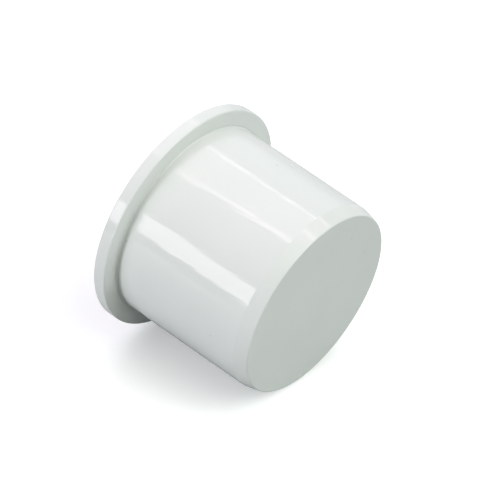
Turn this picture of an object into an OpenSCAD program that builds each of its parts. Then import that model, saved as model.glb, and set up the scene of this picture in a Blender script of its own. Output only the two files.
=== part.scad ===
// Push-fit pipe cap: a hollow, flanged plug that closes the socket of a plastic waste pipe.
// The cap lies along +X. x = 0 is the seat face, the flange's front, which stops against the
// socket's mouth, and the closed end is at x = spigot_len. The hollow opens at the flange's back.
// Every outline is a list of [radius, x] points, turned about the X axis.

/* [Spigot] */
// Outside diameter of the seal land, where the socket's rubber ring grips
spigot_d = 41; // [36:0.1:46]
// Length from the seat face to the closed end
spigot_len = 32.3; // [26:0.1:40]
// Length of the parallel seal land next to the flange
land_len = 8.2; // [5:0.1:10]
// Drop in radius from the land to the lead-in taper, for mould draft
draft_drop = 0.3; // [0.1:0.05:0.4]
// Length of the lead-in taper at the closed end
lead_len = 2.9; // [2.5:0.1:3.5]
// Angle between the lead-in taper and the axis
lead_angle = 14; // [8:1:18]
// Thickness of the wall round the hollow's mouth
wall = 2.2; // [2.1:0.1:2.6]
// Drop in radius of the hollow from its mouth to its floor, for mould draft
bore_drop = 0.45; // [0.2:0.05:0.5]

/* [Flange] */
// Outside diameter of the flange
flange_d = 48.2; // [47.5:0.1:52]
// Thickness of the flange
flange_t = 2.7; // [2.4:0.1:4]
// Fillet between the seal land and the flange
foot_fillet = 0.25; // [0.25:0.05:0.4]
// Radius on both edges of the flange's rim
rim_edge = 0.3; // [0.1:0.05:0.5]
// Radius on the edge of the hollow's mouth
mouth_edge = 0.5; // [0.2:0.05:0.6]

/* [Closed end] */
// Thickness of the end wall
end_t = 2.9; // [2.5:0.1:3.5]
// Radius on the edge of the end face
end_edge = 0.3; // [0.1:0.05:0.6]
// Fillet between the hollow's wall and its floor
floor_fillet = 1; // [0.4:0.1:1.2]
// Diameter of the moulding gate's stub on the floor
gate_d = 2.4; // [1.5:0.1:4]
// Height of the gate's stub
gate_h = 0.5; // [0.2:0.1:0.8]

/* [Joints] */
// Depth of the spotface in the flange's front, where the barrel's foot stands
spotface_depth = 0.1; // [0.1:0.05:0.3]
// Depth that the barrel's tenon reaches into the flange
tenon_len = 1.7; // [1.2:0.1:1.8]
// Thickness of the tenon's wall
tenon_wall = 1.3; // [1:0.1:1.4]
// Length of the end plate's register ring inside the barrel
register_len = 1.7; // [1.7:0.1:3]
// Thickness of the register ring's wall
register_wall = 1.1; // [0.9:0.1:1.2]
// Bond-line gap at the joints' curved and blind faces
bond_gap = 0.05; // [0.02:0.01:0.1]

/* [Hidden] */
$fn = 144;
overcut = 1;
plastic = [0.91, 0.92, 0.90];

land_r = spigot_d / 2;
flange_r = flange_d / 2;
taper_x = spigot_len - lead_len;
taper_r = land_r - draft_drop;
tip_r = taper_r - lead_len * tan(lead_angle);
floor_x = spigot_len - end_t;
mouth_r = land_r - wall;
bore_angle = atan(bore_drop / (floor_x + flange_t));
function bore_r(x) = mouth_r - (x + flange_t) * tan(bore_angle);

foot_r = land_r + foot_fillet;
tenon_r = mouth_r + tenon_wall;
tenon_x = bond_gap - tenon_len;
register_x = taper_x - register_len;
register_r = bore_r(register_x) + register_wall;

forward = [0, 1];
backward = [0, -1];
outward = [1, 0];

// Turns an outline about the X axis
module turned() {
    rotate([0, 90, 0]) rotate_extrude() children();
}

// What an edge radius takes off an outline's corner, where two sides with the outward
// unit normals n1 and n2 meet
module corner_waste(corner, n1, n2, radius) {
    centre = corner - (n1 + n2) * radius / (1 + n1 * n2);
    reach = (radius + overcut) / radius;
    difference() {
        polygon([
            centre,
            centre + n1 * radius * reach,
            centre + (corner - centre) * reach,
            centre + n2 * radius * reach
        ]);
        translate(centre) circle(radius);
    }
}

// The flange: a flat ring, bored for the barrel's tenon, with a shallow spotface in its front
// for the barrel's foot
module flange_ring() {
    color(plastic) turned() difference() {
        polygon([
            [mouth_r, -flange_t],
            [flange_r, -flange_t],
            [flange_r, 0],
            [foot_r + bond_gap, 0],
            [foot_r + bond_gap, -spotface_depth],
            [tenon_r + bond_gap, -spotface_depth],
            [tenon_r + bond_gap, -tenon_len],
            [bore_r(-tenon_len), -tenon_len]
        ]);
        corner_waste([flange_r, 0], outward, forward, rim_edge);
        corner_waste([flange_r, -flange_t], outward, backward, rim_edge);
        corner_waste([mouth_r, -flange_t], [-cos(bore_angle), -sin(bore_angle)], backward, mouth_edge);
    }
}

// The barrel: a tube with a tenon and a filleted foot, the parallel seal land, a drafted length
// and a rabbet in its far end for the end plate
module spigot_barrel() {
    rabbet_r = register_r + bond_gap;
    rabbet_x = register_x - bond_gap;
    color(plastic) turned() difference() {
        polygon([
            [bore_r(tenon_x), tenon_x],
            [tenon_r, tenon_x],
            [tenon_r, -spotface_depth],
            [foot_r, -spotface_depth],
            [foot_r, foot_fillet],
            [land_r, foot_fillet],
            [land_r, land_len],
            [taper_r, taper_x],
            [rabbet_r, taper_x],
            [rabbet_r, rabbet_x],
            [bore_r(rabbet_x), rabbet_x]
        ]);
        translate([foot_r, foot_fillet]) circle(foot_fillet);
    }
}

// The hollow's last stretch, as the end plate holds it: the drafted wall, the fillet and the floor
module floor_pocket() {
    start_x = register_x - overcut;
    difference() {
        polygon([
            [0, start_x],
            [bore_r(start_x), start_x],
            [bore_r(floor_x), floor_x],
            [0, floor_x]
        ]);
        corner_waste([bore_r(floor_x), floor_x], [cos(bore_angle), sin(bore_angle)], forward, floor_fillet);
    }
}

// The closed end: a disc whose rim is the lead-in taper, with a register ring that sits in the
// barrel's rabbet and a gate stub in the middle of the floor
module end_plate() {
    color(plastic) turned() {
        difference() {
            polygon([
                [0, register_x],
                [register_r, register_x],
                [register_r, taper_x],
                [taper_r, taper_x],
                [tip_r, spigot_len],
                [0, spigot_len]
            ]);
            floor_pocket();
            corner_waste([tip_r, spigot_len], [cos(lead_angle), sin(lead_angle)], forward, end_edge);
        }
        translate([0, floor_x - gate_h]) square([gate_d / 2, gate_h + end_t / 2]);
    }
}

flange_ring();
spigot_barrel();
end_plate();
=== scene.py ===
"""Looks for the push-fit pipe cap: three moulded pieces in glossy white plastic, on a pale studio floor.

Lengths are in millimetres in the outlines and in metres everywhere else. The cap's axis is +X, with x = 0
at the flange's front face, and every outline is a closed loop of (radius, x) corners turned about that axis.
"""

import math

import bpy
from mathutils import Matrix, Quaternion, Vector


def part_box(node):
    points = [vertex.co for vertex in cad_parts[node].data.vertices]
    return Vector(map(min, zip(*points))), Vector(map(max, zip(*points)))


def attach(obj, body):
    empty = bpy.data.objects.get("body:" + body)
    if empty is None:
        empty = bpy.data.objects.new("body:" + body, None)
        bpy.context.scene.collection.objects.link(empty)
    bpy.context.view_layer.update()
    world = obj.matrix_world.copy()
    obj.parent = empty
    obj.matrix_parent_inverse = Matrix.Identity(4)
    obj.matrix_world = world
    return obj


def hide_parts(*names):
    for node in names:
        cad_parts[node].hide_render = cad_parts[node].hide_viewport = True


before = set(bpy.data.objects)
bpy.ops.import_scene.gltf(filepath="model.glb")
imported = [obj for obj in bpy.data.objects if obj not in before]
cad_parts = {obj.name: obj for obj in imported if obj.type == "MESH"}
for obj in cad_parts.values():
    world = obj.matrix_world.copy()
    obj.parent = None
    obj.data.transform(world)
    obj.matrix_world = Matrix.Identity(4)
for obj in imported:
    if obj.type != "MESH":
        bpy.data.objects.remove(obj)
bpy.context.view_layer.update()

MM = 0.001

# ---------------------------------------------------------------- sizes, in millimetres

flange_low, flange_high = (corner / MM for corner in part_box("flange_ring"))
barrel_low, barrel_high = (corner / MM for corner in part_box("spigot_barrel"))
end_low, end_high = (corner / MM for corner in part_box("end_plate"))

FLANGE_R = round(flange_high.y, 1)
FLANGE_T = -round(flange_low.x, 2)
FOOT_R = round(barrel_high.y, 2)
TENON_X = round(barrel_low.x, 2)
TAPER_X = round(barrel_high.x, 2)
TAPER_R = round(end_high.y, 1)
REGISTER_X = round(end_low.x, 2)
END_X = round(end_high.x, 2)

# what the boxes don't tell, as the design has it
LAND_LEN = 8.2
LEAD_ANGLE = math.radians(14)
WALL = 2.2
BORE_DROP = 0.45
END_T = 2.9
TENON_WALL = 1.3
REGISTER_WALL = 1.1
BOND_GAP = 0.05
SPOTFACE_DEPTH = 0.1
FOOT_FILLET = 0.25
GATE_R = 1.2
GATE_H = 0.5

# edge radii and fillets
RIM_EDGE = 0.3
MOUTH_EDGE = 0.5
TIP_EDGE = 0.3
FLOOR_FILLET = 1.0
GATE_EDGE = 0.12

LAND_R = FOOT_R - FOOT_FILLET
TIP_R = TAPER_R - (END_X - TAPER_X) * math.tan(LEAD_ANGLE)
FLOOR_X = END_X - END_T
MOUTH_R = LAND_R - WALL
BORE_SLOPE = BORE_DROP / (FLOOR_X + FLANGE_T)
TENON_R = MOUTH_R + TENON_WALL
TENON_END_X = TENON_X - BOND_GAP


def bore_r(x):
    """Radius of the drafted hollow at x."""
    return MOUTH_R - (x + FLANGE_T) * BORE_SLOPE


REGISTER_R = bore_r(REGISTER_X) + REGISTER_WALL
FOOT_ARC = [
    (
        FOOT_R - FOOT_FILLET * math.sin(math.radians(turn)),
        FOOT_FILLET * (1 - math.cos(math.radians(turn))),
        0,
    )
    for turn in range(15, 91, 15)
]

# ---------------------------------------------------------------- mesh code

ROUND_STEPS = 288
ARC_STEPS = 6
GUARD = 0.08
LONGEST_STEP = 1.6
SHARP = math.radians(35)


def rounded(corners):
    """The outline through (radius, x, edge radius) corners, each one rounded by its own arc. A corner with an
    edge radius of 0 stays sharp, and one on the axis is where the outline starts or ends."""
    points = []
    for i, (r, x, edge) in enumerate(corners):
        corner = Vector((r, x))
        if edge == 0:
            points.append(corner)
            continue
        before = (Vector(corners[i - 1][:2]) - corner).normalized()
        after = (Vector(corners[(i + 1) % len(corners)][:2]) - corner).normalized()
        half_angle = before.angle(after) / 2
        reach = edge / math.tan(half_angle)
        centre = corner + (before + after).normalized() * edge / math.sin(half_angle)
        start = corner + before * reach - centre
        turn = start.angle_signed(corner + after * reach - centre)
        for step in range(ARC_STEPS + 1):
            angle = -turn * step / ARC_STEPS
            spun = Matrix.Rotation(angle, 2) @ start
            points.append(centre + spun)
    return points


def stretched(points, closed):
    """The same outline with guard points just inside each long stretch's ends and even steps between them, so
    that flat faces stay flat under smooth shading."""
    count = len(points)
    full = []
    for i in range(count if closed else count - 1):
        here, there = points[i], points[(i + 1) % count]
        full.append(here)
        span = (there - here).length
        if span > 3 * GUARD:
            steps = max(1, math.ceil((span - 2 * GUARD) / LONGEST_STEP))
            for step in range(steps + 1):
                along = GUARD + (span - 2 * GUARD) * step / steps
                full.append(here.lerp(there, along / span))
    if not closed:
        full.append(points[-1])
    return full


def lathe(name, corners):
    """A closed solid of revolution about the X axis. Where the outline starts and ends on the axis, it closes
    there in a fan."""
    on_axis = corners[0][0] == 0 and corners[-1][0] == 0
    outline = stretched(rounded(corners), closed=not on_axis)
    rings = outline[1:-1] if on_axis else outline
    verts, faces = [], []
    for radius, x in rings:
        for step in range(ROUND_STEPS):
            angle = 2 * math.pi * step / ROUND_STEPS
            verts.append((x, radius * math.sin(angle), radius * math.cos(angle)))
    last = len(rings) - 1 if on_axis else len(rings)
    for ring in range(last):
        a = ring * ROUND_STEPS
        b = (ring + 1) % len(rings) * ROUND_STEPS
        for step in range(ROUND_STEPS):
            after = (step + 1) % ROUND_STEPS
            faces.append((a + step, b + step, b + after, a + after))
    if on_axis:
        for axis_point, ring, flip in ((outline[0], 0, False), (outline[-1], len(rings) - 1, True)):
            tip = len(verts)
            verts.append((axis_point[1], 0, 0))
            base = ring * ROUND_STEPS
            for step in range(ROUND_STEPS):
                after = base + (step + 1) % ROUND_STEPS
                faces.append((tip, after, base + step) if flip else (tip, base + step, after))
    mesh = bpy.data.meshes.new(name)
    mesh.from_pydata([Vector(point) * MM for point in verts], [], faces)
    mesh.update()
    mesh.shade_smooth()
    mesh.set_sharp_from_angle(angle=SHARP)
    piece = bpy.data.objects.new(name, mesh)
    bpy.context.scene.collection.objects.link(piece)
    return piece


# ---------------------------------------------------------------- the pieces


def flange():
    """The stop flange: rim edges, spotface and socket for the barrel, and the hollow's mouth."""
    return lathe(
        "moulded_flange",
        [
            (MOUTH_R, -FLANGE_T, MOUTH_EDGE),
            (FLANGE_R, -FLANGE_T, RIM_EDGE),
            (FLANGE_R, 0, RIM_EDGE),
            (FOOT_R + BOND_GAP, 0, 0),
            (FOOT_R + BOND_GAP, -SPOTFACE_DEPTH, 0),
            (TENON_R + BOND_GAP, -SPOTFACE_DEPTH, 0),
            (TENON_R + BOND_GAP, TENON_END_X, 0),
            (bore_r(TENON_END_X), TENON_END_X, 0),
        ],
    )


def barrel():
    """The spigot's tube: tenon, filleted foot, seal land, drafted length and rabbet."""
    rabbet_r = REGISTER_R + BOND_GAP
    rabbet_x = REGISTER_X - BOND_GAP
    return lathe(
        "moulded_barrel",
        [
            (bore_r(TENON_X), TENON_X, 0),
            (TENON_R, TENON_X, 0),
            (TENON_R, -SPOTFACE_DEPTH, 0),
            (FOOT_R, -SPOTFACE_DEPTH, 0),
            (FOOT_R, 0, 0),
            *FOOT_ARC,
            (LAND_R, LAND_LEN, 0),
            (TAPER_R, TAPER_X, 0),
            (rabbet_r, TAPER_X, 0),
            (rabbet_r, rabbet_x, 0),
            (bore_r(rabbet_x), rabbet_x, 0),
        ],
    )


def end():
    """The closed end: lead-in taper, end face, register ring, and the hollow's floor with its gate stub."""
    return lathe(
        "moulded_end",
        [
            (0, FLOOR_X - GATE_H, 0),
            (GATE_R, FLOOR_X - GATE_H, GATE_EDGE),
            (GATE_R, FLOOR_X, GATE_EDGE),
            (bore_r(FLOOR_X), FLOOR_X, FLOOR_FILLET),
            (bore_r(REGISTER_X), REGISTER_X, 0),
            (REGISTER_R, REGISTER_X, 0),
            (REGISTER_R, TAPER_X, 0),
            (TAPER_R, TAPER_X, 0),
            (TIP_R, END_X, TIP_EDGE),
            (0, END_X, 0),
        ],
    )


# ---------------------------------------------------------------- materials

WHITE_LOW, WHITE_HIGH, SPECK = (0.74, 0.758, 0.736), (0.76, 0.773, 0.755), (0.62, 0.63, 0.59)
PLASTIC_IOR = 1.5
SMOOTH, DULL = 0.075, 0.2  # roughness
TWIST = 6.0  # radians that the lines wind round the axis per metre
LINES_FADE = 0.6  # millimetres


def white_plastic():
    """Glossy moulded white plastic. The colour is barely uneven and has a few fine specks, and the skin
    ripples a little. The gloss is a clear coat, which on the barrel carries the mould's polishing lines.
    They run along the axis with a slight twist."""
    material = bpy.data.materials.new("white_plastic")
    material.use_nodes = True
    nodes, links = material.node_tree.nodes, material.node_tree.links
    shader = nodes["Principled BSDF"]
    # the gloss is a clear coat, so that the polishing lines break it up and leave the white below even
    shader.inputs["Specular IOR Level"].default_value = 0
    shader.inputs["Coat Weight"].default_value = 1
    shader.inputs["Coat IOR"].default_value = PLASTIC_IOR
    shader.inputs["Coat Roughness"].default_value = SMOOTH
    place = nodes.new("ShaderNodeTexCoord").outputs["Object"]

    def noise(where, scale, detail):
        texture = nodes.new("ShaderNodeTexNoise")
        texture.inputs["Scale"].default_value = scale
        texture.inputs["Detail"].default_value = detail
        links.new(where, texture.inputs["Vector"])
        return texture.outputs["Fac"]

    def spread(value, values, span):
        """Maps the span (low, high) of a value onto another one."""
        mapped = nodes.new("ShaderNodeMapRange")
        mapped.inputs["From Min"].default_value, mapped.inputs["From Max"].default_value = values
        mapped.inputs["To Min"].default_value, mapped.inputs["To Max"].default_value = span
        links.new(value, mapped.inputs["Value"])
        return mapped.outputs["Result"]

    def number(operation, value, other=0):
        step = nodes.new("ShaderNodeMath")
        step.operation = operation
        links.new(value, step.inputs[0])
        step.inputs[1].default_value = other
        return step.outputs["Value"]

    def blend(factor, first, second):
        mix = nodes.new("ShaderNodeMix")
        mix.data_type = "RGBA"
        links.new(factor, mix.inputs["Factor"])
        for socket, colour in (("A", first), ("B", second)):
            if isinstance(colour, tuple):
                mix.inputs[socket].default_value = (*colour, 1)
            else:
                links.new(colour, mix.inputs[socket])
        return mix.outputs["Result"]

    # the object's coordinates, wound round the axis and stretched along it
    along = nodes.new("ShaderNodeSeparateXYZ")
    links.new(place, along.inputs["Vector"])
    wound = nodes.new("ShaderNodeVectorRotate")
    wound.rotation_type = "X_AXIS"
    links.new(place, wound.inputs["Vector"])
    links.new(number("MULTIPLY", along.outputs["X"], TWIST), wound.inputs["Angle"])
    drawn_out = nodes.new("ShaderNodeMapping")
    drawn_out.inputs["Scale"].default_value = (0.05, 1, 1)
    links.new(wound.outputs["Vector"], drawn_out.inputs["Vector"])
    lines = noise(drawn_out.outputs["Vector"], 1500, 3)

    dust = nodes.new("ShaderNodeTexVoronoi")
    dust.inputs["Scale"].default_value = 130
    links.new(place, dust.inputs["Vector"])
    specks = spread(dust.outputs["Distance"], (0.015, 0.04), (1, 0))
    clean = blend(spread(noise(place, 90, 3), (0.3, 0.7), (0, 1)), WHITE_LOW, WHITE_HIGH)
    links.new(blend(specks, clean, SPECK), shader.inputs["Base Color"])
    links.new(spread(lines, (0.48, 0.74), (SMOOTH, DULL)), shader.inputs["Roughness"])

    ripple = nodes.new("ShaderNodeBump")
    ripple.inputs["Distance"].default_value = 0.000004
    links.new(noise(place, 300, 1), ripple.inputs["Height"])
    polish = nodes.new("ShaderNodeBump")
    polish.inputs["Distance"].default_value = 0.000015
    links.new(noise(drawn_out.outputs["Vector"], 1600, 0), polish.inputs["Height"])
    # the lines are on the barrel only, and fade out where it ends
    from_middle = number("ABSOLUTE", number("SUBTRACT", along.outputs["X"], TAPER_X / 2 * MM))
    ends = (TAPER_X / 2 - LINES_FADE) * MM, TAPER_X / 2 * MM
    links.new(spread(from_middle, ends, (1, 0)), polish.inputs["Strength"])
    links.new(ripple.outputs["Normal"], polish.inputs["Normal"])
    links.new(polish.outputs["Normal"], shader.inputs["Coat Normal"])
    links.new(ripple.outputs["Normal"], shader.inputs["Normal"])
    return material


def matt(name, colour, glow):
    """A plain matt material for the studio, which glows a little by itself."""
    material = bpy.data.materials.new(name)
    material.use_nodes = True
    shader = material.node_tree.nodes["Principled BSDF"]
    shader.inputs["Base Color"].default_value = (*colour, 1)
    shader.inputs["Roughness"].default_value = 1
    shader.inputs["Specular IOR Level"].default_value = 0
    shader.inputs["Emission Color"].default_value = (1, 1, 1, 1)
    shader.inputs["Emission Strength"].default_value = glow
    return material


plastic = white_plastic()
pieces = {"flange_ring": flange(), "spigot_barrel": barrel(), "end_plate": end()}
for node, piece in pieces.items():
    piece.data.materials.append(plastic)
    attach(piece, "root")
    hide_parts(node)

# ---------------------------------------------------------------- studio

# The cap lies on its flange's rim and on the crease where the taper starts, so the floor leans along
# its axis.
LEAN = math.atan2(FLANGE_R - TAPER_R, TAPER_X)
floor_up = Vector((-math.sin(LEAN), 0, math.cos(LEAN)))
lowest = min(vert.co.dot(floor_up) for piece in pieces.values() for vert in piece.data.vertices)
FLOOR_HALF = 3.0
FLOOR_GLOW = 0.25
SHEET_GAP = 0.1 * MM
BACKDROP = (0.93, 0.94, 0.95, 1)


def ground(name, drop, colour, glow=0):
    """A wide level sheet under the cap, drop metres below where it touches down."""
    side = Vector((0, 1, 0))
    ahead = side.cross(floor_up)
    mesh = bpy.data.meshes.new(name)
    corners = [
        floor_up * (lowest - drop) + ahead * a * FLOOR_HALF + side * b * FLOOR_HALF
        for a, b in ((-1, -1), (1, -1), (1, 1), (-1, 1))
    ]
    mesh.from_pydata(corners, [], [(0, 1, 2, 3)])
    mesh.materials.append(matt(name, colour, glow))
    sheet = bpy.data.objects.new(name, mesh)
    bpy.context.scene.collection.objects.link(sheet)
    return sheet


# The floor that the camera sees is white. Just under it, the gloss picks up a greyer sheet and the cap's
# underside takes its soft light from a duller one, as over a grey table.
floor = ground("studio_floor", 0, (0.95, 0.95, 0.95), glow=FLOOR_GLOW)
floor.visible_diffuse = floor.visible_glossy = floor.visible_shadow = False
sheen = ground("studio_sheen", SHEET_GAP, (0.55, 0.56, 0.56))
sheen.visible_camera = sheen.visible_diffuse = sheen.visible_shadow = False
table = ground("studio_table", 2 * SHEET_GAP, (0.35, 0.37, 0.36))
table.visible_camera = table.visible_glossy = False

# The sky over the studio: broad soft lobes of light, each (direction, how narrow, colour). The directions
# and widths are chosen. The colours here, and the lamps' powers and tints below, are the rounded result
# of a least-squares solve. Only the window and the near strip were changed after the solve.
SKY = [
    ((-0.8, 0, 0.6), 4, (0.44, 0.49, 0.52)),
    ((-0.65, 0.7, 0.3), 6, (1.23, 1.29, 1.38)),
    ((0.5, 0, 0.87), 14, (3.72, 3.72, 3.43)),
    ((0.7, 0.35, 0.62), 14, (2.68, 3.04, 3.04)),
]

world = bpy.data.worlds.new("studio")
bpy.context.scene.world = world
world.use_nodes = True
sky_nodes, sky_links = world.node_tree.nodes, world.node_tree.links


def sky_vector(operation, first, second=None, scale=None):
    """One vector-maths step of the sky. It returns the step's node."""
    step = sky_nodes.new("ShaderNodeVectorMath")
    step.operation = operation
    for slot, value in ((0, first), (1, second), (3, scale)):
        if isinstance(value, bpy.types.NodeSocket):
            sky_links.new(value, step.inputs[slot])
        elif value is not None:
            step.inputs[slot].default_value = value
    return step


def sky_number(operation, first, second):
    step = sky_nodes.new("ShaderNodeMath")
    step.operation = operation
    sky_links.new(first, step.inputs[0])
    step.inputs[1].default_value = second
    return step.outputs[0]


sky = None
outward = sky_nodes.new("ShaderNodeTexCoord").outputs["Generated"]
for towards, narrow, colour in SKY:
    facing = sky_vector("DOT_PRODUCT", outward, Vector(towards).normalized()).outputs["Value"]
    lobe = sky_number("POWER", sky_number("MAXIMUM", facing, 0), narrow)
    glow = sky_vector("SCALE", colour, scale=lobe).outputs["Vector"]
    sky = glow if sky is None else sky_vector("ADD", sky, glow).outputs["Vector"]
# past the floor's far edge the camera sees a pale backdrop, and never the lobes themselves
backdrop = sky_nodes.new("ShaderNodeMix")
backdrop.data_type = "RGBA"
backdrop.inputs["B"].default_value = BACKDROP
sky_links.new(sky_nodes.new("ShaderNodeLightPath").outputs["Is Camera Ray"], backdrop.inputs["Factor"])
sky_links.new(sky, backdrop.inputs["A"])
sky_links.new(backdrop.outputs["Result"], sky_nodes["Background"].inputs["Color"])


def soft_light(name, roll, along, reach, size, power, colour=(1, 1, 1), spin=0):
    """A rectangular soft light that hangs round the cap's axis: roll degrees from overhead towards +Y, along
    metres down the axis and reach metres out from it. Its size is (along the axis, round the axis)."""
    data = bpy.data.lights.new(name, "AREA")
    data.shape = "RECTANGLE"
    data.size, data.size_y = size
    data.energy = power
    data.color = colour
    lamp = bpy.data.objects.new(name, data)
    turn = Matrix.Rotation(math.radians(-roll), 4, "X")
    place = Matrix.Translation((along, 0, reach))
    lamp.matrix_world = turn @ place @ Matrix.Rotation(math.radians(spin), 4, "Z")
    lamp.visible_camera = False
    bpy.context.scene.collection.objects.link(lamp)
    return lamp


soft_light("window", -72.5, -0.53, 1.0, (0.65, 0.36), 3.0, (1, 0.914, 0.977))
soft_light("strip_near", 3.5, -0.30, 1.0, (1.05, 0.075), 0.58, (1, 0.8, 0.87), spin=36)
soft_light("overhead", 20, -0.42, 1.0, (0.95, 0.85), 2.6, (1, 0.839, 0.933))
soft_light("key_left", -90, -0.26, 1.0, (0.22, 0.6), 7.51, (0.899, 0.965, 1))
soft_light("strip_far", 40, -0.40, 1.0, (0.80, 0.05), 0.23, (0.908, 0.939, 1))

# ---------------------------------------------------------------- camera

# the camera's place, angles and lens are the rounded result of a fit by another program
AIM = Vector((14.5, 1.1, 1.1)) * MM
AZIMUTH, ELEVATION, ROLL = (math.radians(angle) for angle in (36.07, 43.09, 7.79))
DISTANCE = 0.4093
camera_data = bpy.data.cameras.new("camera")
camera_data.lens = 153.5
camera_data.sensor_width = 36
camera_data.clip_start = 0.01
camera_data.clip_end = 20
camera = bpy.data.objects.new("camera", camera_data)
back = Vector(
    (
        math.sin(AZIMUTH) * math.cos(ELEVATION),
        -math.cos(AZIMUTH) * math.cos(ELEVATION),
        math.sin(ELEVATION),
    )
)
camera.location = AIM + back * DISTANCE
camera.rotation_mode = "QUATERNION"
camera.rotation_quaternion = (-back).to_track_quat("-Z", "Y") @ Quaternion((0, 0, 1), ROLL)
bpy.context.scene.collection.objects.link(camera)
bpy.context.scene.camera = camera
bpy.context.scene.view_settings.view_transform = "Standard"
